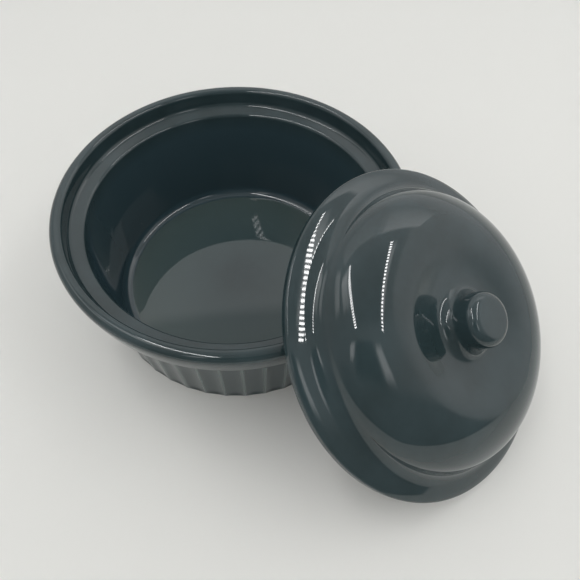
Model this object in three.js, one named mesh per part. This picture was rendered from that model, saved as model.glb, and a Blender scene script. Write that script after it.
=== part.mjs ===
// Lidded ramekin in glazed stoneware: a fluted dish, and its knobbed lid lifted off and
// leaning against the dish, lower edge on the table. Millimetres, +Z up.
import * as THREE from 'three';

// Driving dimensions of the dish
const rimRadius = 80; // widest point, at the rim
const dishHeight = 66; // table to the crown of the rim
const rimWidth = 5.4; // crown, from the outer face to the riser
const rimRounding = 3; // outer edge of the crown
const crownRounding = 2; // inner edge of the crown
const ledgeDepth = 9.5; // crown down to the ledge that carries the lid
const ledgeWidth = 6.4; // ledge, from the riser to the inside wall
const ledgeRounding = 1.8; // edge where the ledge turns down into the dish
const riserLean = 1; // how much wider the riser is at its top
const riserRounding = 2.6; // hollow where the riser meets the ledge
const insideDraft = 7.5; // inside wall off plumb, degrees
const floorThickness = 6;
const floorRounding = 5; // hollow where the floor meets the inside wall
const wallAtCollar = 4.6; // wall under the collar, to the ridges of the flutes
const wallAtFoot = 6.1; // wall at the table, to the ridges of the flutes
const collarDrop = 2; // how far the collar, the plain band around the rim, reaches below the ledge
const collarLean = 1.6; // how far the collar tucks in at its lower edge
const collarUpright = 4; // upright part of the collar, below the crown
const collarRounding = 1.8; // lower edge of the collar
const coveDrop = 3; // how far the underside of the collar falls to the wall
const coveRounding = 3; // hollow where the collar meets the wall
const fluteCount = 44;
const fluteDepth = 0.9;
const fluteRunOut = 7; // length over which a flute dies away at its top
const fluteMargin = 2.5; // plain wall between the flutes and the collar
const baseRounding = 1.4; // edge where the wall meets the table
const footWidth = 7; // flat ring that the dish stands on
const footRecess = 1.2; // hollow of the underside within that ring

// Driving dimensions of the lid, heights from the underside of its flange
const lidClearance = 3.2; // play between the lip and the riser, at the ledge
const flangeWidth = 11.4; // lip to the wall of the dome
const lipThickness = 4.6;
const lipRounding = 2.2;
const brimWidth = 5.8; // sloping outer part of the flange
const brimHeight = 6.9; // top of the flange
const brimRounding = 12;
const grooveDrop = 0.5; // how far the flange dips where it meets the dome
const grooveRounding = 1.6;
const shoulderRadius = 15; // section of the dome's shoulder
const shoulderLimit = 0.8; // most of the dome's rise that the shoulder may take
const shoulderHeight = 9.2; // where the wall of the dome starts to turn in
const crestShare = 0.53; // place of the top of the dome, between the well and the shoulder
const crestHeight = 29.3; // top of the dome
const wellDepth = 3; // how far the top dips from the crest to the knob
const knobRadius = 10.1;
const knobHeight = 12.4; // knob, above the well
const knobRounding = 1.8; // top edge of the knob
const knobFillet = 3.6; // hollow around the foot of the knob
const lidThickness = 5;
const seatWidth = 7.6; // flat underside of the flange, which sits on the ledge
const mouthRise = 6; // height over which the hollow narrows from the seat to the dome
const mouthRounding = 6; // both edges of that slope

// Driving dimensions of the lean
const leanAngle = 36.5; // lid off level, degrees
const restGap = 0.3; // lid to rim, where it leans

// Facets of the turned surfaces
const facetsPerFlute = 3;
const lidFacets = 64;
const arcDepth = 0.2; // how far a flat facet may stand off a true arc
const swellSteps = 4;
const runOutLevels = [1, 0.55, 0.2, 0]; // where the end of a flute is cut, as shares of its run-out
const leastSide = 1e-6; // shorter sides of an outline are left out

// Radii and heights that follow from those
const crownRadius = rimRadius - rimWidth;
const ledgeOuter = crownRadius - riserLean;
const ledgeInner = ledgeOuter - ledgeWidth;
const ledgeHeight = dishHeight - ledgeDepth;
const insideSlope = Math.tan(THREE.MathUtils.degToRad(insideDraft));
const insideRadius = (height) => ledgeInner - (ledgeHeight - height) * insideSlope;
const collarFoot = ledgeHeight - collarDrop;
const coveHeight = collarFoot - coveDrop;
const ridgeRadius = (height) =>
  insideRadius(height) + THREE.MathUtils.lerp(wallAtFoot, wallAtCollar, height / coveHeight);
const fluteTop = coveHeight - fluteMargin;
const footRadius = ridgeRadius(0) - baseRounding - footWidth;

const lidRadius = ledgeOuter - lidClearance;
const domeRadius = lidRadius - flangeWidth;
const hollowRadius = domeRadius - lidThickness;
const wellHeight = crestHeight - wellDepth;
const wellRadius = knobRadius + knobFillet;
const knobTop = wellHeight + knobHeight;
const shoulderFit = Math.min(shoulderRadius, shoulderLimit * (crestHeight - shoulderHeight));

// How many flat facets a turn along an arc takes
function arcSteps(turn, radius) {
  return Math.ceil(Math.abs(turn) / (2 * Math.acos(1 - arcDepth / Math.max(radius, arcDepth))));
}

// An outline of straight sides with rounded corners. A corner has a radius r, a height h and
// its rounding; where two roundings do not fit on a side, both shrink until they do.
function roundedOutline(corners) {
  const places = corners.map(({ r, h }) => new THREE.Vector2(r, h));
  const sides = places.slice(1).map((place, i) => place.clone().sub(places[i]));
  const turns = corners.map((corner, i) => {
    const before = sides[i - 1];
    const after = sides[i];
    return before && after ? Math.atan2(before.cross(after), before.dot(after)) : 0;
  });
  const reach = corners.map(({ round = 0 }, i) => round * Math.tan(Math.abs(turns[i]) / 2));
  const share = sides.map((side, i) => {
    const wanted = reach[i] + reach[i + 1];
    return wanted > side.length() ? side.length() / wanted : 1;
  });
  return corners.flatMap(({ fluted = false }, i) => {
    const fitted = reach[i] * Math.min(share[i - 1] ?? 1, share[i] ?? 1);
    if (fitted === 0) return [Object.assign(places[i], { fluted })];
    const along = sides[i - 1].clone().normalize();
    const start = places[i].clone().addScaledVector(along, -fitted);
    const radius = fitted / Math.tan(turns[i] / 2);
    const centre = start.clone().add(new THREE.Vector2(-along.y, along.x).multiplyScalar(radius));
    const steps = arcSteps(turns[i], Math.abs(radius));
    return Array.from({ length: steps + 1 }, (_, k) =>
      Object.assign(start.clone().rotateAround(centre, (turns[i] * k) / steps), { fluted }));
  });
}

// An arc about a centre, from one angle to another
function arc(centre, radius, from, to) {
  const steps = arcSteps(to - from, radius);
  return Array.from({ length: steps + 1 }, (_, k) => {
    const angle = THREE.MathUtils.lerp(from, to, k / steps);
    return new THREE.Vector2(radius * Math.cos(angle), radius * Math.sin(angle)).add(centre);
  });
}

// A smooth swell from one place to another, level at both ends
function swell(from, to) {
  return Array.from({ length: swellSteps + 1 }, (_, k) => {
    const share = k / swellSteps;
    const rise = (1 - Math.cos(Math.PI * share)) / 2;
    return new THREE.Vector2(
      THREE.MathUtils.lerp(from.x, to.x, share),
      THREE.MathUtils.lerp(from.y, to.y, rise),
    );
  });
}

function withoutRepeats(outline) {
  return outline.filter((point, i) => i === 0 || point.distanceTo(outline[i - 1]) > leastSide);
}

// A turned solid, its axis along Z
function turned(outline, facets) {
  return new THREE.LatheGeometry(outline, facets).rotateX(Math.PI / 2);
}

// Outline of the dish: underside, fluted wall, collar, rim, ledge and inside, axis to axis
function dishOutline() {
  const runOut = runOutLevels.map((share) => fluteTop - share * fluteRunOut);
  return withoutRepeats(roundedOutline([
    { r: 0, h: footRecess },
    { r: footRadius - footRecess, h: footRecess },
    { r: footRadius, h: 0 },
    { r: ridgeRadius(0), h: 0, round: baseRounding, fluted: true },
    ...runOut.map((h) => ({ r: ridgeRadius(h), h, fluted: true })),
    { r: ridgeRadius(coveHeight), h: coveHeight, round: coveRounding },
    { r: rimRadius - collarLean, h: collarFoot, round: collarRounding },
    { r: rimRadius, h: dishHeight - collarUpright },
    { r: rimRadius, h: dishHeight, round: rimRounding },
    { r: crownRadius, h: dishHeight, round: crownRounding },
    { r: ledgeOuter, h: ledgeHeight, round: riserRounding },
    { r: ledgeInner, h: ledgeHeight, round: ledgeRounding },
    { r: insideRadius(floorThickness), h: floorThickness, round: floorRounding },
    { r: 0, h: floorThickness },
  ]));
}

// Flutes are pressed into the turned wall: scallops that meet in ridges, fade at the table and
// end in an arch under the collar
function pressFlutes(geometry, outline) {
  const position = geometry.attributes.position;
  for (let vertex = 0; vertex < position.count; vertex += 1) {
    const { x: radius, y: height, fluted } = outline[vertex % outline.length];
    if (!fluted) continue;
    const facet = Math.floor(vertex / outline.length) % facetsPerFlute;
    const across = (2 * facet) / facetsPerFlute - 1;
    const foot = Math.min(1, height / baseRounding);
    const arch = Math.max(0, (height - fluteTop) / fluteRunOut + 1);
    const depth = fluteDepth * Math.max(0, foot * (1 - across ** 2) - arch ** 2);
    const scale = 1 - depth / radius;
    position.setXY(vertex, position.getX(vertex) * scale, position.getY(vertex) * scale);
  }
}

// Outline of the lid: hollow underside, flange, dome, well and knob, axis to axis. The dome is a
// small arc at the shoulder running into a large one that is level at the crest.
function lidOutline() {
  const shoulder = new THREE.Vector2(domeRadius - shoulderFit, shoulderHeight);
  const well = new THREE.Vector2(wellRadius, wellHeight);
  const crest = new THREE.Vector2(THREE.MathUtils.lerp(well.x, shoulder.x, crestShare), crestHeight);
  const inward = shoulder.x - crest.x;
  const rise = crest.y - shoulder.y;
  const crownArc = (inward ** 2 + rise ** 2 - shoulderFit ** 2) / (2 * (rise - shoulderFit));
  const crown = new THREE.Vector2(crest.x, crest.y - crownArc);
  const meeting = shoulder.clone().sub(crown).angle();
  const level = Math.PI / 2;
  const below = new THREE.Vector2(0, -lidThickness);
  return withoutRepeats([
    new THREE.Vector2(0, wellHeight - lidThickness),
    ...swell(well.clone().add(below), crest.clone().add(below)),
    ...arc(crown, crownArc - lidThickness, level, meeting),
    ...arc(shoulder, shoulderFit - lidThickness, meeting, 0),
    ...roundedOutline([
      { r: hollowRadius, h: shoulderHeight },
      { r: hollowRadius, h: mouthRise, round: mouthRounding },
      { r: lidRadius - seatWidth, h: 0, round: mouthRounding },
      { r: lidRadius, h: 0, round: lipRounding },
      { r: lidRadius, h: lipThickness, round: lipRounding },
      { r: lidRadius - brimWidth, h: brimHeight, round: brimRounding },
      { r: domeRadius, h: brimHeight - grooveDrop, round: grooveRounding },
      { r: domeRadius, h: shoulderHeight },
    ]),
    ...arc(shoulder, shoulderFit, 0, meeting),
    ...arc(crown, crownArc, meeting, level),
    ...swell(crest, well),
    ...roundedOutline([
      { r: wellRadius, h: wellHeight },
      { r: knobRadius, h: wellHeight, round: knobFillet },
      { r: knobRadius, h: knobTop, round: knobRounding },
      { r: 0, h: knobTop },
    ]),
  ]);
}

// Distance in the plane from a place to a side of an outline
function sideDistance(r, h, start, end) {
  const alongR = end.x - start.x;
  const alongH = end.y - start.y;
  const share = ((r - start.x) * alongR + (h - start.y) * alongH) / (alongR ** 2 + alongH ** 2);
  const nearest = THREE.MathUtils.clamp(share, 0, 1);
  return Math.hypot(r - start.x - nearest * alongR, h - start.y - nearest * alongH);
}

// Where the leaning lid comes to rest: its lip on the table, then slid towards the dish until the
// rim is the rest gap away from it. Each step is as long as the clearance that is left.
function leanPlace(rim, lid) {
  const angle = THREE.MathUtils.degToRad(leanAngle);
  const sin = Math.sin(angle);
  const cos = Math.cos(angle);
  const height = Math.max(...lid.map(({ x, y }) => x * sin - y * cos));
  const tolerance = 1e-3;
  const sweep = 90;
  let distance = rimRadius + lidRadius;
  let spare = Infinity;
  while (spare > tolerance) {
    let clearance = Infinity;
    for (const { x: radius, y: rimHeight } of rim) {
      for (let degree = 0; degree <= sweep; degree += 1) {
        const turn = THREE.MathUtils.degToRad(degree);
        const outward = radius * Math.cos(turn) - distance;
        const upward = rimHeight - height;
        const inPlane = Math.hypot(outward * cos - upward * sin, radius * Math.sin(turn));
        const onAxis = outward * sin + upward * cos;
        for (let i = 1; i < lid.length; i += 1) {
          clearance = Math.min(clearance, sideDistance(inPlane, onAxis, lid[i - 1], lid[i]));
        }
      }
    }
    spare = clearance - restGap;
    distance -= spare;
  }
  return new THREE.Vector3(distance, 0, height);
}

// Both pieces wear the same glossy dark slate-green glaze
const glaze = { color: 0x2f3a3c, roughness: 0.12, metalness: 0 };

// The dish stands with a flute, not a ridge, facing the lid
const dishSection = dishOutline();
const dishBody = turned(dishSection, fluteCount * facetsPerFlute);
pressFlutes(dishBody, dishSection);
const dish = new THREE.Mesh(dishBody, new THREE.MeshStandardMaterial(glaze));
dish.name = 'dish';
dish.rotation.z = Math.PI / fluteCount;

// The lid leans along X
const lidSection = lidOutline();
const lid = new THREE.Mesh(turned(lidSection, lidFacets), new THREE.MeshStandardMaterial(glaze));
lid.name = 'lid';
const rimSection = dishSection.filter(({ x, y }) => x > ledgeInner && y > coveHeight);
lid.position.copy(leanPlace(rimSection, lidSection));
lid.rotation.y = THREE.MathUtils.degToRad(leanAngle);

// The pair is centred on the middle of its footprint
const pair = new THREE.Group();
pair.add(dish, lid);
pair.position.x = -new THREE.Box3().setFromObject(pair, true).getCenter(new THREE.Vector3()).x;

const ramekin = new THREE.Group();
ramekin.add(pair);

export default ramekin;
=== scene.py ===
import math

import bpy
from mathutils import Matrix, Vector


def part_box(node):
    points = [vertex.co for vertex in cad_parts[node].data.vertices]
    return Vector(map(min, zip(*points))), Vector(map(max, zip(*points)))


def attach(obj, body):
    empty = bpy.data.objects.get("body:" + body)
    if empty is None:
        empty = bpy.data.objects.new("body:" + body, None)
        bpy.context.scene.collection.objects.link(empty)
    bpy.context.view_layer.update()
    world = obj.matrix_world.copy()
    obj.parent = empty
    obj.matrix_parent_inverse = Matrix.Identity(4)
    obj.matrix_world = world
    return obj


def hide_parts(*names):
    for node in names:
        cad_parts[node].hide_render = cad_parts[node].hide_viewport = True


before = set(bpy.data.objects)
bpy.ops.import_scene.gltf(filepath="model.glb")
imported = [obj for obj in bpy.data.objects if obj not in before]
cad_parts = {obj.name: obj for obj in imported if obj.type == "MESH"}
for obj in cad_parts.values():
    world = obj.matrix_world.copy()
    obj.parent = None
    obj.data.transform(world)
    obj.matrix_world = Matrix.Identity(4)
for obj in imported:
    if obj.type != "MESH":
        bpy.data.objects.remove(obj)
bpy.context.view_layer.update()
scene = bpy.context.scene
scene.view_settings.view_transform = "Standard"

# Dish
# The dish is stoneware, jiggered over a plaster mould and dipped in one coat of glossy dark glaze.
# Flutes are pressed into its wall below a plain collar, and a ledge inside the rim carries the lid.
mm = 0.001
dish_low, dish_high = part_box("dish")
dish_axis = Vector(((dish_low.x + dish_high.x) / 2, (dish_low.y + dish_high.y) / 2, 0))
rim_radius = (dish_high.y - dish_low.y) / 2 / mm
dish_height = dish_high.z / mm
rim_width = 5.4
rim_rounding = 3
crown_rounding = 2
ledge_depth = 9.5
ledge_width = 6.4
ledge_fall = 1.5
ledge_rounding = 1.8
riser_lean = 1
riser_rounding = 2.6
inside_draft = math.radians(7.5)
floor_thickness = 6
floor_rounding = 5
floor_rise = 1.5
wall_at_collar = 4.6
wall_at_foot = 6.1
collar_drop = 2
collar_lean = 1.6
collar_upright = 4
collar_rounding = 1.8
cove_drop = 3
cove_rounding = 3
flute_count = 44
flute_depth = 0.9
flute_run_out = 7
flute_margin = 2.5
flute_softness = 0.12
base_rounding = 1.4
foot_width = 7
foot_recess = 1.2
bare_foot_height = 0.3
dish_facets = flute_count * 10

crown_radius = rim_radius - rim_width
ledge_outer = crown_radius - riser_lean
ledge_inner = ledge_outer - ledge_width
ledge_height = dish_height - ledge_depth
collar_foot = ledge_height - collar_drop
cove_height = collar_foot - cove_drop
flute_top = cove_height - flute_margin


def inside_radius(height):
    return ledge_inner - (ledge_height - height) * math.tan(inside_draft)


def ridge_radius(height):
    share = height / cove_height
    return inside_radius(height) + wall_at_foot + share * (wall_at_collar - wall_at_foot)


# Places along an outline that are nearer than this, in mm, are one place.
same_place = 1e-6


def without_repeats(outline):
    kept = outline[:1]
    for place in outline[1:]:
        if (place - kept[-1]).length > same_place:
            kept.append(place)
    return kept


def rounded_outline(corners, arc_step=math.radians(8), stride=4):
    """Places along straight sides with rounded corners. A corner is (radius, height, rounding)."""
    places = [Vector(corner[:2]) for corner in corners]
    sides = [after - before for before, after in zip(places, places[1:])]
    turns = [0] + [-before.angle_signed(after, 0) for before, after in zip(sides, sides[1:])] + [0]
    reach = [corner[2] * math.tan(abs(turn) / 2) for corner, turn in zip(corners, turns)]
    share = [min(1, side.length / max(a + b, same_place))
             for side, a, b in zip(sides, reach, reach[1:])]
    share = [1] + share + [1]
    outline = []
    for i, place in enumerate(places):
        fitted = reach[i] * min(share[i], share[i + 1])
        if fitted < same_place:
            bend = [place]
        else:
            along = sides[i - 1].normalized()
            start = place - along * fitted
            left = Vector((-along.y, along.x)) * fitted / math.tan(turns[i] / 2)
            steps = math.ceil(abs(turns[i]) / arc_step)
            bend = []
            for k in range(steps + 1):
                spoke = -left
                spoke.rotate(Matrix.Rotation(turns[i] * k / steps, 2))
                bend.append(start + left + spoke)
        if outline:
            gap = bend[0] - outline[-1]
            steps = math.ceil(gap.length / stride)
            outline += [outline[-1] + gap * k / steps for k in range(1, steps)]
        outline += bend
    return without_repeats(outline)


def add_node(tree, kind, inputs=None, **settings):
    """Adds a node with its settings; an input is a value or the socket that feeds it."""
    node = tree.nodes.new(kind)
    for name, value in settings.items():
        setattr(node, name, value)
    for socket, value in (inputs or {}).items():
        if isinstance(value, bpy.types.NodeSocket):
            tree.links.new(value, node.inputs[socket])
        else:
            node.inputs[socket].default_value = value
    return node


def new_geometry_tree(name, sizes):
    tree = bpy.data.node_groups.new(name, "GeometryNodeTree")
    tree.interface.new_socket("Geometry", in_out="INPUT", socket_type="NodeSocketGeometry")
    for size, kind in sizes.items():
        tree.interface.new_socket(size, in_out="INPUT", socket_type=kind)
    tree.interface.new_socket("Geometry", in_out="OUTPUT", socket_type="NodeSocketGeometry")
    return tree


weld_distance = 0.001 * mm


def turned_form_tree():
    """Turns an outline, a chain of points in X and Z, round the Z axis into a closed form."""
    sizes = {"Facets": "NodeSocketInt", "Glaze": "NodeSocketMaterial"}
    tree = new_geometry_tree("Turned form", sizes)
    given = add_node(tree, "NodeGroupInput").outputs
    size = add_node(tree, "GeometryNodeAttributeDomainSize", {"Geometry": given["Geometry"]})
    rows = size.outputs["Point Count"]
    columns = add_node(tree, "ShaderNodeMath", {0: given["Facets"], 1: 1}).outputs[0]
    grid = add_node(tree, "GeometryNodeMeshGrid", {"Vertices X": columns, "Vertices Y": rows})
    index = add_node(tree, "GeometryNodeInputIndex").outputs[0]
    ratio = add_node(tree, "ShaderNodeMath", {0: index, 1: rows}, operation="DIVIDE").outputs[0]
    column = add_node(tree, "ShaderNodeMath", {0: ratio}, operation="FLOOR").outputs[0]
    before = add_node(tree, "ShaderNodeMath", {0: column, 1: rows}, operation="MULTIPLY").outputs[0]
    row = add_node(tree, "ShaderNodeMath", {0: index, 1: before}, operation="SUBTRACT").outputs[0]
    position = add_node(tree, "GeometryNodeInputPosition").outputs[0]
    place = add_node(tree, "GeometryNodeSampleIndex",
                     {"Geometry": given["Geometry"], "Value": position, "Index": row},
                     data_type="FLOAT_VECTOR", domain="POINT").outputs[0]
    step = add_node(tree, "ShaderNodeMath", {0: math.tau, 1: given["Facets"]}, operation="DIVIDE")
    angle = add_node(tree, "ShaderNodeMath", {0: column, 1: step.outputs[0]}, operation="MULTIPLY")
    spun = add_node(tree, "ShaderNodeVectorRotate", {"Vector": place, "Angle": angle.outputs[0]},
                    rotation_type="Z_AXIS").outputs[0]
    shell = add_node(tree, "GeometryNodeSetPosition",
                     {"Geometry": grid.outputs["Mesh"], "Position": spun}).outputs[0]
    # wall marks the fluted wall; the other two shares carry painted light inside the dish and on its
    # floor.
    for name in ("wall", "thick_glaze", "pooled_glaze"):
        noted = add_node(tree, "GeometryNodeInputNamedAttribute", {"Name": name}, data_type="FLOAT")
        share = add_node(tree, "GeometryNodeSampleIndex",
                         {"Geometry": given["Geometry"], "Value": noted.outputs[0], "Index": row},
                         data_type="FLOAT", domain="POINT").outputs[0]
        shell = add_node(tree, "GeometryNodeStoreNamedAttribute",
                         {"Geometry": shell, "Name": name, "Value": share},
                         data_type="FLOAT", domain="POINT").outputs[0]
    closed = add_node(tree, "GeometryNodeMergeByDistance", {"Geometry": shell, "Distance": weld_distance})
    smooth = add_node(tree, "GeometryNodeSetShadeSmooth", {"Geometry": closed.outputs[0]})
    real = add_node(tree, "GeometryNodeRealizeInstances", {"Geometry": smooth.outputs[0]})
    glazed = add_node(tree, "GeometryNodeSetMaterial",
                      {"Geometry": real.outputs[0], "Material": given["Glaze"]})
    add_node(tree, "NodeGroupOutput", {"Geometry": glazed.outputs[0]})
    return tree


def fluted_form_tree(turned_form):
    """A turned form with flutes pressed into its wall: scallops that meet in soft ridges, fade at
    the table and end in an arch under the collar. A flute, not a ridge, faces +X."""
    sizes = {"Facets": "NodeSocketInt", "Glaze": "NodeSocketMaterial", "Flutes": "NodeSocketInt",
             "Depth": "NodeSocketFloat", "Run-out start": "NodeSocketFloat",
             "Run-out length": "NodeSocketFloat", "Softness": "NodeSocketFloat",
             "Foot": "NodeSocketMaterial", "Foot line": "NodeSocketFloat"}
    tree = new_geometry_tree("Fluted form", sizes)
    given = add_node(tree, "NodeGroupInput").outputs
    turned = add_node(tree, "GeometryNodeGroup", node_tree=turned_form)
    for name in ("Geometry", "Facets", "Glaze"):
        tree.links.new(given[name], turned.inputs[name])
    position = add_node(tree, "GeometryNodeInputPosition").outputs[0]
    place = add_node(tree, "ShaderNodeSeparateXYZ", {0: position}).outputs
    angle = add_node(tree, "ShaderNodeMath", {0: place["Y"], 1: place["X"]}, operation="ARCTAN2")
    turn = add_node(tree, "ShaderNodeMath", {0: angle.outputs[0], 1: math.tau}, operation="DIVIDE")
    count = add_node(tree, "ShaderNodeMath", {0: turn.outputs[0], 1: given["Flutes"], 2: 0.5},
                     operation="MULTIPLY_ADD")
    part = add_node(tree, "ShaderNodeMath", {0: count.outputs[0]}, operation="FRACT").outputs[0]
    across = add_node(tree, "ShaderNodeMath", {0: part, 1: 2, 2: -1},
                      operation="MULTIPLY_ADD").outputs[0]
    square = add_node(tree, "ShaderNodeMath", {0: across, 1: across}, operation="MULTIPLY").outputs[0]
    scallop = add_node(tree, "ShaderNodeMath", {0: 1, 1: square}, operation="SUBTRACT").outputs[0]
    soft_square = add_node(tree, "ShaderNodeMath",
                           {0: given["Softness"], 1: given["Softness"]}, operation="MULTIPLY").outputs[0]
    rounded = add_node(tree, "ShaderNodeMath", {0: scallop, 1: scallop, 2: soft_square},
                       operation="MULTIPLY_ADD").outputs[0]
    root = add_node(tree, "ShaderNodeMath", {0: rounded}, operation="SQRT").outputs[0]
    hollow = add_node(tree, "ShaderNodeMath", {0: root, 1: given["Softness"]},
                      operation="SUBTRACT").outputs[0]
    wall = add_node(tree, "GeometryNodeInputNamedAttribute", {"Name": "wall"},
                    data_type="FLOAT").outputs[0]
    faded = add_node(tree, "ShaderNodeMath", {0: hollow, 1: wall}, operation="MULTIPLY").outputs[0]
    above = add_node(tree, "ShaderNodeMath", {0: place["Z"], 1: given["Run-out start"]},
                     operation="SUBTRACT")
    arch = add_node(tree, "ShaderNodeMath", {0: above.outputs[0], 1: given["Run-out length"]},
                    operation="DIVIDE", use_clamp=True).outputs[0]
    arch_square = add_node(tree, "ShaderNodeMath", {0: arch, 1: arch}, operation="MULTIPLY").outputs[0]
    left = add_node(tree, "ShaderNodeMath", {0: faded, 1: arch_square}, operation="SUBTRACT").outputs[0]
    kept = add_node(tree, "ShaderNodeMath", {0: left, 1: 0, 2: given["Softness"]},
                    operation="SMOOTH_MAX")
    depth = add_node(tree, "ShaderNodeMath", {0: kept.outputs[0], 1: given["Depth"]},
                     operation="MULTIPLY")
    flat = add_node(tree, "ShaderNodeVectorMath", {0: position, 1: (1, 1, 0)},
                    operation="MULTIPLY").outputs[0]
    outward = add_node(tree, "ShaderNodeVectorMath", {0: flat}, operation="NORMALIZE").outputs[0]
    inward = add_node(tree, "ShaderNodeMath", {0: depth.outputs[0], 1: -1},
                      operation="MULTIPLY").outputs[0]
    press = add_node(tree, "ShaderNodeVectorMath", {0: outward, "Scale": inward}, operation="SCALE")
    on_wall = add_node(tree, "FunctionNodeCompare", {0: wall, 1: 0}, data_type="FLOAT",
                       operation="GREATER_THAN")
    fluted = add_node(tree, "GeometryNodeSetPosition",
                      {"Geometry": turned.outputs[0], "Selection": on_wall.outputs[0],
                       "Offset": press.outputs[0]})
    ridge = add_node(tree, "ShaderNodeMath", {0: square, 1: square}, operation="MULTIPLY").outputs[0]
    thin = add_node(tree, "ShaderNodeMath", {0: ridge, 1: wall}, operation="MULTIPLY").outputs[0]
    worn = add_node(tree, "GeometryNodeStoreNamedAttribute",
                    {"Geometry": fluted.outputs[0], "Name": "thin_glaze", "Value": thin},
                    data_type="FLOAT", domain="POINT")
    real = add_node(tree, "GeometryNodeRealizeInstances", {"Geometry": worn.outputs[0]})
    glazed = add_node(tree, "GeometryNodeSetMaterial",
                      {"Geometry": real.outputs[0], "Material": given["Glaze"]})
    under = add_node(tree, "FunctionNodeCompare", {0: place["Z"], 1: given["Foot line"]},
                     data_type="FLOAT", operation="LESS_THAN").outputs[0]
    footed = add_node(tree, "GeometryNodeSetMaterial",
                      {"Geometry": glazed.outputs[0], "Selection": under, "Material": given["Foot"]})
    add_node(tree, "NodeGroupOutput", {"Geometry": footed.outputs[0]})
    return tree


def outline_piece(name, outline, **notes):
    """A piece whose mesh is only its outline, in metres, for a tree to turn into a form.
    A note is a named list with a number for each place along the outline."""
    mesh = bpy.data.meshes.new(name)
    edges = [(i, i + 1) for i in range(len(outline) - 1)]
    mesh.from_pydata([(p.x * mm, 0, p.y * mm) for p in outline], edges, [])
    for note, shares in notes.items():
        mesh.attributes.new(note, "FLOAT", "POINT").data.foreach_set("value", shares)
    piece = bpy.data.objects.new(name, mesh)
    scene.collection.objects.link(piece)
    return piece


def shape_piece(piece, tree, sizes):
    """Runs a geometry tree on a piece and keeps the result as its plain mesh."""
    modifier = piece.modifiers.new(tree.name, "NODES")
    modifier.node_group = tree
    for socket in tree.interface.items_tree:
        if socket.in_out == "INPUT" and socket.name in sizes:
            modifier[socket.identifier] = sizes[socket.name]
    evaluated = piece.evaluated_get(bpy.context.evaluated_depsgraph_get())
    shaped = bpy.data.meshes.new_from_object(evaluated)
    piece.modifiers.remove(modifier)
    piece.data = shaped
    return piece


def linear(hex_colour):
    """An sRGB hex colour as linear red, green, blue and alpha."""
    shares = [int(hex_colour[i:i + 2], 16) / 255 for i in (1, 3, 5)]
    return [s / 12.92 if s <= 0.04045 else ((s + 0.055) / 1.055) ** 2.4 for s in shares] + [1]


# The glaze's patterns in mm. The orange peel and the pinholes are drawn coarser than real ones,
# which are too fine to show.
cloud_width = 28
cloud_low = 0.35
cloud_high = 0.65
ripple_width = 22
ripple_height = 0.035
peel_width = 2.6
peel_height = 0.0025
pinhole_spacing = 26
pinhole_radius = 0.32
pinhole_depth = 0.05
gloss_low = 0.3
gloss_high = 0.7
glossiest = 0.02
dullest = 0.05
glaze_index = 1.54
thin_coat = linear("#253234")
full_coat = linear("#2e3c3f")
# Painted light: the inside wall and the floor are coloured lighter than the glaze, to stand in for light
# falling into the dish.
painted_light_inside_coat = linear("#2f4046")
painted_light_floor_coat = linear("#42504f")
ridge_coat = linear("#5b6664")
pinhole_clay = linear("#6d7672")


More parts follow.
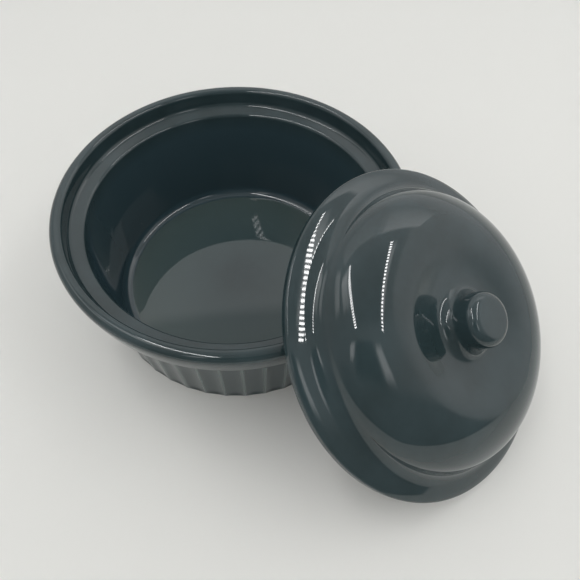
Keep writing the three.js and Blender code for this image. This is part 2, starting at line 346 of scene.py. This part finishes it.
def glazed_stoneware():
    """Glossy dark slate-green glaze, fired in one dip: a glassy coat that clouds a little and is thin
    on the ridges. It carries painted light: a lighter, bluer coat down the inside wall and a paler
    floor, strongest towards its edge, stand in for light falling into the dish. It lies in slow
    ripples with a fine orange peel, and has a few pinholes."""
    material = bpy.data.materials.new("glazed_stoneware")
    material.use_nodes = True
    tree = material.node_tree
    tree.nodes.clear()
    place = add_node(tree, "ShaderNodeTexCoord").outputs["Object"]
    cloud = add_node(tree, "ShaderNodeTexNoise",
                     {"Vector": place, "Scale": 1 / (cloud_width * mm), "Detail": 4, "Roughness": 0.55})
    clouded = add_node(tree, "ShaderNodeMapRange",
                       {"Value": cloud.outputs[0],
                        "From Min": cloud_low, "From Max": cloud_high}).outputs[0]
    body = add_node(tree, "ShaderNodeMix", {0: clouded, 6: thin_coat, 7: full_coat},
                    data_type="RGBA").outputs[2]
    # Painted light: a lighter, bluer colour down the inside wall and a paler floor where light falls into
    # the dish.
    thick = add_node(tree, "ShaderNodeAttribute", attribute_name="thick_glaze").outputs["Fac"]
    inside_lit_colour = add_node(tree, "ShaderNodeMix", {0: thick, 6: body, 7: painted_light_inside_coat},
                      data_type="RGBA").outputs[2]
    pool = add_node(tree, "ShaderNodeAttribute", attribute_name="pooled_glaze").outputs["Fac"]
    floor_lit_colour = add_node(tree, "ShaderNodeMix", {0: pool, 6: inside_lit_colour, 7: painted_light_floor_coat},
                     data_type="RGBA").outputs[2]
    thin = add_node(tree, "ShaderNodeAttribute", attribute_name="thin_glaze").outputs["Fac"]
    coloured = add_node(tree, "ShaderNodeMix", {0: thin, 6: floor_lit_colour, 7: ridge_coat},
                        data_type="RGBA").outputs[2]

    cell = add_node(tree, "ShaderNodeTexVoronoi", {"Vector": place, "Scale": 1 / (pinhole_spacing * mm)})
    pit = add_node(tree, "ShaderNodeMapRange",
                   {"Value": cell.outputs["Distance"],
                    "From Min": 0, "From Max": pinhole_radius / pinhole_spacing,
                    "To Min": 1, "To Max": 0}, interpolation_type="SMOOTHSTEP").outputs[0]
    speckled = add_node(tree, "ShaderNodeMix", {0: pit, 6: coloured, 7: pinhole_clay},
                        data_type="RGBA").outputs[2]

    ripple = add_node(tree, "ShaderNodeTexNoise",
                      {"Vector": place, "Scale": 1 / (ripple_width * mm), "Detail": 1}).outputs[0]
    peel = add_node(tree, "ShaderNodeTexNoise",
                    {"Vector": place, "Scale": 1 / (peel_width * mm), "Detail": 1}).outputs[0]
    waves = add_node(tree, "ShaderNodeMath", {0: ripple, 1: ripple_height},
                     operation="MULTIPLY").outputs[0]
    skin = add_node(tree, "ShaderNodeMath", {0: peel, 1: peel_height, 2: waves},
                    operation="MULTIPLY_ADD").outputs[0]
    pitted = add_node(tree, "ShaderNodeMath", {0: pit, 1: -pinhole_depth, 2: skin},
                      operation="MULTIPLY_ADD").outputs[0]
    relief = add_node(tree, "ShaderNodeBump", {"Height": pitted, "Distance": mm, "Strength": 1}).outputs[0]

    gloss = add_node(tree, "ShaderNodeMapRange",
                     {"Value": cloud.outputs[0], "From Min": gloss_low, "From Max": gloss_high,
                      "To Min": glossiest, "To Max": dullest})
    shader = add_node(tree, "ShaderNodeBsdfPrincipled",
                      {"Base Color": speckled, "Roughness": gloss.outputs[0],
                       "IOR": glaze_index, "Normal": relief})
    add_node(tree, "ShaderNodeOutputMaterial", {"Surface": shader.outputs[0]})
    return material


grit_width = 0.8
grit_height = 0.1


def bare_stoneware():
    """Fired clay wiped clean of glaze, where the dish stood on the kiln shelf: buff, dull and gritty."""
    material = bpy.data.materials.new("bare_stoneware")
    material.use_nodes = True
    tree = material.node_tree
    tree.nodes.clear()
    place = add_node(tree, "ShaderNodeTexCoord").outputs["Object"]
    grit = add_node(tree, "ShaderNodeTexNoise",
                    {"Vector": place, "Scale": 1 / (grit_width * mm),
                     "Detail": 5, "Roughness": 0.7}).outputs[0]
    colour = add_node(tree, "ShaderNodeMix", {0: grit, 6: linear("#8c8071"), 7: linear("#b3a68f")},
                      data_type="RGBA").outputs[2]
    relief = add_node(tree, "ShaderNodeBump", {"Height": grit, "Distance": grit_height * mm,
                                              "Strength": 1}).outputs[0]
    shader = add_node(tree, "ShaderNodeBsdfPrincipled",
                      {"Base Color": colour, "Roughness": 0.85, "Normal": relief})
    add_node(tree, "ShaderNodeOutputMaterial", {"Surface": shader.outputs[0]})
    return material


glaze = glazed_stoneware()
bare_clay = bare_stoneware()
turned_form = turned_form_tree()
fluted_form = fluted_form_tree(turned_form)

base_radius = ridge_radius(0)
foot_radius = base_radius - base_rounding - foot_width
run_out_start = flute_top - flute_run_out
run_out_rows = 14
floor_flat = inside_radius(floor_thickness) - floor_rounding
floor_rings = 16
# Painted light: how far down the inside wall it fades in, and how far past the flat floor it reaches, in
# mm.
painted_light_fade = 8
painted_light_floor_edge = 1
run_out_step = flute_run_out / run_out_rows
wall_heights = [run_out_start + run_out_step * k for k in range(run_out_rows + 1)]
# The floor is crowned a little: it rises from its edge to its middle.
floor_places = []
for ring in range(floor_rings + 1):
    outward = 1 - ring / floor_rings
    floor_places.append((floor_flat * outward, floor_thickness + floor_rise * (1 - outward ** 2), 0))
dish_outline = rounded_outline([
    (0, foot_recess, 0),
    (foot_radius - foot_recess, foot_recess, 0),
    (foot_radius, 0, 0),
    (base_radius, 0, base_rounding),
    *[(ridge_radius(height), height, 0) for height in wall_heights],
    (ridge_radius(cove_height), cove_height, cove_rounding),
    (rim_radius - collar_lean, collar_foot, collar_rounding),
    (rim_radius, dish_height - collar_upright, 0),
    (rim_radius, dish_height, rim_rounding),
    (crown_radius, dish_height, crown_rounding),
    (ledge_outer, ledge_height + ledge_fall, riser_rounding),
    (ledge_inner, ledge_height, ledge_rounding),
    (inside_radius(floor_thickness), floor_thickness, floor_rounding),
    *floor_places,
])
wall_shares = []
painted_light_inside_shares = []
painted_light_floor_shares = []
widest = max(range(len(dish_outline)), key=lambda i: dish_outline[i].x)
for i, place in enumerate(dish_outline):
    on_wall = i < widest and place.x > foot_radius and place.y <= flute_top
    wall_shares.append(min(1, place.y / base_rounding) if on_wall else 0)
    # Painted light: shares that lighten the inside wall below the ledge and the floor, fading to nothing
    # at the floor's middle.
    inside = i > widest and place.y < ledge_height
    down_the_wall = (ledge_height - place.y) / painted_light_fade
    painted_light_inside_shares.append(min(1, down_the_wall, place.x / floor_flat) if inside else 0)
    on_floor = inside and place.x <= floor_flat + painted_light_floor_edge
    painted_light_floor_shares.append(min(1, place.x / floor_flat) if on_floor else 0)
dish = outline_piece("dish_shell", dish_outline, wall=wall_shares, thick_glaze=painted_light_inside_shares,
                     pooled_glaze=painted_light_floor_shares)
shape_piece(dish, fluted_form, {
    "Facets": dish_facets, "Glaze": glaze, "Flutes": flute_count, "Depth": flute_depth * mm,
    "Run-out start": run_out_start * mm, "Run-out length": flute_run_out * mm, "Softness": flute_softness,
    "Foot": bare_clay, "Foot line": bare_foot_height * mm})
dish.data.transform(Matrix.Translation(dish_axis))
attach(dish, "dish")
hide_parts("dish")

# Lid
# The lid is thrown or jiggered stoneware in the same glaze: a flange that drops onto the dish's
# ledge, a dome with a dished top, and a knob luted on before firing, all one piece.
lid_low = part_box("lid")[0]
lean = math.radians(37.3)
axes_apart = 96
lid_clearance = 3.5
flange_width = 11.7
lip_thickness = 4.4
lip_rounding = 2.2
lip_slope = math.radians(30)
brim_width = 2
brim_slope = math.radians(14.3)
brim_rounding = 20
cove_radius = 8
shoulder_radius = 15
shoulder_height = 9.2
crest_share = 0.68
crest_height = 27.9
well_depth = 3
knob_radius = 10.9
knob_height = 13.4
knob_rounding = 4
knob_fillet = 5.5
lid_thickness = 5
seat_width = 10.4
mouth_rise = 5
mouth_rounding = 3
lid_facets = 256

lid_radius = ledge_outer - lid_clearance
dome_radius = lid_radius - flange_width
hollow_radius = dome_radius - lid_thickness
shoulder_centre = Vector((dome_radius - shoulder_radius, shoulder_height))
well = Vector((knob_radius + knob_fillet, crest_height - well_depth))
crest = Vector((well.x + crest_share * (shoulder_centre.x - well.x), crest_height))
knob_top = well.y + knob_height
reach = crest - shoulder_centre
crown_arc = (reach.length_squared - shoulder_radius ** 2) / (2 * (reach.y - shoulder_radius))
crown_centre = Vector((crest.x, crest.y - crown_arc))
meeting = math.atan2(shoulder_centre.y - crown_centre.y, shoulder_centre.x - crown_centre.x)

# The brim rises from the lip at a slope, and a cove carries it up into the dome's shoulder.
brim = Vector((lid_radius - brim_width, lip_thickness + brim_width * math.tan(lip_slope)))
inward = Vector((-math.cos(brim_slope), math.sin(brim_slope)))
upward = Vector((math.sin(brim_slope), math.cos(brim_slope)))
start = brim + upward * cove_radius - shoulder_centre
half_way = start.dot(inward)
both_radii = shoulder_radius + cove_radius
touch = -half_way - math.sqrt(half_way ** 2 - start.length_squared + both_radii ** 2)
cove_centre = shoulder_centre + start + inward * touch
cove_foot = cove_centre - upward * cove_radius
cove_end = math.atan2(cove_centre.y - shoulder_centre.y, cove_centre.x - shoulder_centre.x)


def arc(centre, radius, start, end, step=math.radians(2)):
    steps = math.ceil(abs(end - start) / step)
    angles = [start + (end - start) * k / steps for k in range(steps + 1)]
    return [centre + radius * Vector((math.cos(angle), math.sin(angle))) for angle in angles]


def swell(start, end, steps=24):
    """A smooth rise or fall from one place to another, level at both ends."""
    shares = [k / steps for k in range(steps + 1)]
    return [Vector((start.x + share * (end.x - start.x),
                    start.y + (1 - math.cos(math.pi * share)) / 2 * (end.y - start.y)))
            for share in shares]


level = math.pi / 2
below = Vector((0, -lid_thickness))
lid_outline = [
    *rounded_outline([(0, well.y - lid_thickness, 0), (well.x, well.y - lid_thickness, 0)]),
    *swell(well + below, crest + below),
    *arc(crown_centre, crown_arc - lid_thickness, level, meeting),
    *arc(shoulder_centre, shoulder_radius - lid_thickness, meeting, 0),
    *rounded_outline([
        (hollow_radius, shoulder_height, 0),
        (hollow_radius, mouth_rise, mouth_rounding),
        (lid_radius - seat_width, 0, mouth_rounding),
        (lid_radius, 0, lip_rounding),
        (lid_radius, lip_thickness, lip_rounding),
        (brim.x, brim.y, brim_rounding),
        (cove_foot.x, cove_foot.y, 0),
    ]),
    *arc(cove_centre, cove_radius, -brim_slope - level, cove_end - math.pi),
    *arc(shoulder_centre, shoulder_radius, cove_end, meeting),
    *arc(crown_centre, crown_arc, meeting, level),
    *swell(crest, well),
    *rounded_outline([
        (well.x, well.y, 0),
        (knob_radius, well.y, knob_fillet),
        (knob_radius, knob_top, knob_rounding),
        (0, knob_top, 0),
    ]),
]
lid = outline_piece("lid_shell", without_repeats(lid_outline))
shape_piece(lid, turned_form, {"Facets": lid_facets, "Glaze": glaze})
tilt = Matrix.Rotation(lean, 4, "Y")
lid.data.transform(tilt)
lowest = min(vertex.co.z for vertex in lid.data.vertices)
lid_place = dish_axis + Vector((axes_apart * mm, 0, lid_low.z - lowest))
lid.data.transform(Matrix.Translation(lid_place))
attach(lid, "lid")
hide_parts("lid")

# Table
# A pale plain sweep that the dish stands on.
table_half = 12
table_mesh = bpy.data.meshes.new("table")
corners = [(-table_half, -table_half, 0), (table_half, -table_half, 0),
           (table_half, table_half, 0), (-table_half, table_half, 0)]
table_mesh.from_pydata(corners, [], [(0, 1, 2, 3)])
table = bpy.data.objects.new("table", table_mesh)
scene.collection.objects.link(table)
table_paper = bpy.data.materials.new("pale_card")
table_paper.use_nodes = True
table_paper.node_tree.nodes["Principled BSDF"].inputs["Base Color"].default_value = linear("#dcdcd8")
table_paper.node_tree.nodes["Principled BSDF"].inputs["Roughness"].default_value = 0.8
table_mesh.materials.append(table_paper)

# Light
# A small white tent, open at the front: pale cloth all round, and two strips of lamps under its roof
# that run from front to back. Cloth near the strips is brighter, and the roof between them is dimmer.
# At the front is a dim doorway between two lit flaps, with a dark room beyond it.
tent_heading = math.radians(39.6)
turn_to_tent = Matrix.Rotation(tent_heading, 3, "Z")
fill_light = 0.8
back_shine = 0.85
front_shine = 0.35
view_light = 0.68
door_heading = Vector((-0.42, -0.91, 0))

world = bpy.data.worlds.new("tent_cloth")
world.use_nodes = True
tree = world.node_tree
tree.nodes.clear()
heading = add_node(tree, "ShaderNodeTexCoord").outputs["Generated"]
front = turn_to_tent @ door_heading
facing = add_node(tree, "ShaderNodeVectorMath", {0: heading, 1: front}, operation="DOT_PRODUCT")
shine = add_node(tree, "ShaderNodeMapRange",
                 {"Value": facing.outputs["Value"], "From Min": -1, "From Max": 1,
                  "To Min": back_shine, "To Max": front_shine}).outputs[0]
ray = add_node(tree, "ShaderNodeLightPath").outputs
fill = add_node(tree, "ShaderNodeBackground", {"Color": (1, 1, 1, 1), "Strength": fill_light}).outputs[0]
gloss = add_node(tree, "ShaderNodeBackground", {"Color": (1, 1, 1, 1), "Strength": shine}).outputs[0]
seen = add_node(tree, "ShaderNodeBackground", {"Color": (1, 1, 1, 1), "Strength": view_light}).outputs[0]
lit = add_node(tree, "ShaderNodeMixShader", {0: ray["Is Glossy Ray"], 1: fill, 2: gloss}).outputs[0]
cloth = add_node(tree, "ShaderNodeMixShader", {0: ray["Is Camera Ray"], 1: lit, 2: seen}).outputs[0]
add_node(tree, "ShaderNodeOutputWorld", {"Surface": cloth})
scene.world = world

strip_level = 800
strip_width = 48
strip_power = 1.25
lamp_count = 26
lamp_share = 0.5
strip_ends = {"left_strip": ((-180, -340), (-265, 300)), "right_strip": ((445, -380), (482, 290))}
for name, (near, far) in strip_ends.items():
    near, far = Vector(near), Vector(far)
    strip = bpy.data.lights.new(name, "AREA")
    strip.shape = "RECTANGLE"
    strip.size = strip_width * mm
    strip.size_y = (far - near).length * mm
    strip.energy = strip_power / lamp_share
    strip.use_nodes = True
    tree = strip.node_tree
    tree.nodes.clear()
    share = add_node(tree, "ShaderNodeNewGeometry").outputs["Parametric"]
    along = add_node(tree, "ShaderNodeSeparateXYZ", {0: share}).outputs["Y"]
    number = add_node(tree, "ShaderNodeMath", {0: along, 1: lamp_count}, operation="MULTIPLY").outputs[0]
    part = add_node(tree, "ShaderNodeMath", {0: number}, operation="FRACT").outputs[0]
    lamp_on = add_node(tree, "ShaderNodeMath", {0: part, 1: lamp_share}, operation="LESS_THAN").outputs[0]
    glow = add_node(tree, "ShaderNodeEmission", {"Color": (1, 1, 1, 1), "Strength": lamp_on})
    add_node(tree, "ShaderNodeOutputLight", {"Surface": glow.outputs[0]})
    lamp = bpy.data.objects.new(name, strip)
    lamp.visible_camera = False
    strip_heading = math.atan2(near.x - far.x, far.y - near.y)
    lamp.matrix_world = (turn_to_tent @ Matrix.Rotation(strip_heading, 3, "Z")).to_4x4()
    lamp.location = turn_to_tent @ ((near + far) / 2).to_3d() * mm
    lamp.location.z = strip_level * mm
    scene.collection.objects.link(lamp)


def hang_card(name, middle, across, along, light, fade=0.3):
    """A cloth panel of the tent, which only gloss shows, with edges that fade over a share of it.
    Its sizes are half sizes from its middle, and its light runs from one end to the other along it."""
    middle, across, along = Vector(middle), Vector(across), Vector(along)
    stops = (-1, fade - 1, 1 - fade, 1)
    knots = [(s, t) for t in stops for s in stops]
    places = [turn_to_tent @ (middle + across * s + along * t) * mm for s, t in knots]
    row = len(stops)
    corners = [k + row * n for n in range(row - 1) for k in range(row - 1)]
    faces = [(corner, corner + 1, corner + row + 1, corner + row) for corner in corners]
    mesh = bpy.data.meshes.new(name)
    mesh.from_pydata(places, [], faces)
    cover = [float(max(abs(s), abs(t)) < 1) for s, t in knots]
    glow = [light[0] + (light[1] - light[0]) * (t + 1) / 2 for s, t in knots]
    mesh.attributes.new("cover", "FLOAT", "POINT").data.foreach_set("value", cover)
    mesh.attributes.new("glow", "FLOAT", "POINT").data.foreach_set("value", glow)
    cloth = bpy.data.materials.new(name)
    cloth.use_nodes = True
    tree = cloth.node_tree
    tree.nodes.clear()
    share = add_node(tree, "ShaderNodeAttribute", attribute_name="cover").outputs["Fac"]
    level = add_node(tree, "ShaderNodeAttribute", attribute_name="glow").outputs["Fac"]
    clear = add_node(tree, "ShaderNodeBsdfTransparent").outputs[0]
    shine = add_node(tree, "ShaderNodeEmission", {"Color": (1, 1, 1, 1), "Strength": level}).outputs[0]
    panel = add_node(tree, "ShaderNodeMixShader", {0: share, 1: clear, 2: shine}).outputs[0]
    add_node(tree, "ShaderNodeOutputMaterial", {"Surface": panel})
    mesh.materials.append(cloth)
    card = bpy.data.objects.new(name, mesh)
    card.visible_camera = False
    card.visible_diffuse = False
    card.visible_shadow = False
    scene.collection.objects.link(card)


# Each panel has its middle, its half sizes across and along, its light and the share that fades.
hang_card("roof", (110, -10, 812), (370, 0, 0), (0, 370, 0), (0.3, 0.66), 0.3)
hang_card("back_cloth", (-100, 525, 590), (400, 0, 0), (0, -135, 150), (0.9, 1.25), 0.2)
hang_card("back_right_cloth", (750, 525, 590), (600, 0, 0), (0, -135, 150), (0.75, 2.1), 0.2)
hang_card("right_cloth", (950, 350, 480), (0, 750, 0), (0, 0, 500), (0.8, 1.1), 0.35)
hang_card("left_cloth", (-600, 190, 600), (0, 300, 0), (0, 0, 150), (1.3, 2), 0.4)
hang_card("left_lit_cloth", (-400, 60, 806), (150, 0, 0), (-51, 260, 0), (1, 3.2), 0.4)
hang_card("right_lit_cloth", (500, -25, 806), (75, 0, 0), (45, 325, 0), (2.6, 2.2), 0.5)
hang_card("doorway", (-50, -487, 512), (225, 0, 0), (0, 0, 385), (0.05, 0.15), 0.28)
hang_card("dark_room", (250, -390, 60), (1000, 0, 0), (0, 0, 300), (0.1, 0.3), 0.35)
hang_card("left_flap", (-312, -470, 637), (75, 0, 0), (0, 0, 180), (2.2, 2.2), 0.6)
hang_card("right_flap", (250, -470, 578), (95, 0, 0), (0, 0, 220), (2.2, 2.2), 0.6)

# Camera
# A phone held above the front edge of the table, looking down into the dish.
image_pixels = 580
focal_pixels = 560
stand_back = 172.3
eye_height = 250.0
yaw = 0.1523
pitch = -0.9831
roll = 0.0356
ahead = Vector((math.sin(yaw) * math.cos(pitch), math.cos(yaw) * math.cos(pitch), math.sin(pitch)))
right = Vector((math.cos(yaw), -math.sin(yaw), 0))
up = right.cross(ahead)
camera_right = math.cos(roll) * right + math.sin(roll) * up
camera_up = math.cos(roll) * up - math.sin(roll) * right
axes = Matrix((camera_right, camera_up, -ahead)).transposed()
camera_data = bpy.data.cameras.new("camera")
camera_data.sensor_width = 36
camera_data.lens = camera_data.sensor_width * focal_pixels / image_pixels
camera_data.clip_start = 0.01
camera = bpy.data.objects.new("camera", camera_data)
camera.matrix_world = (turn_to_tent @ axes).to_4x4()
camera.location = dish_axis + turn_to_tent @ Vector((0, -stand_back * mm, eye_height * mm))
scene.collection.objects.link(camera)
scene.camera = camera
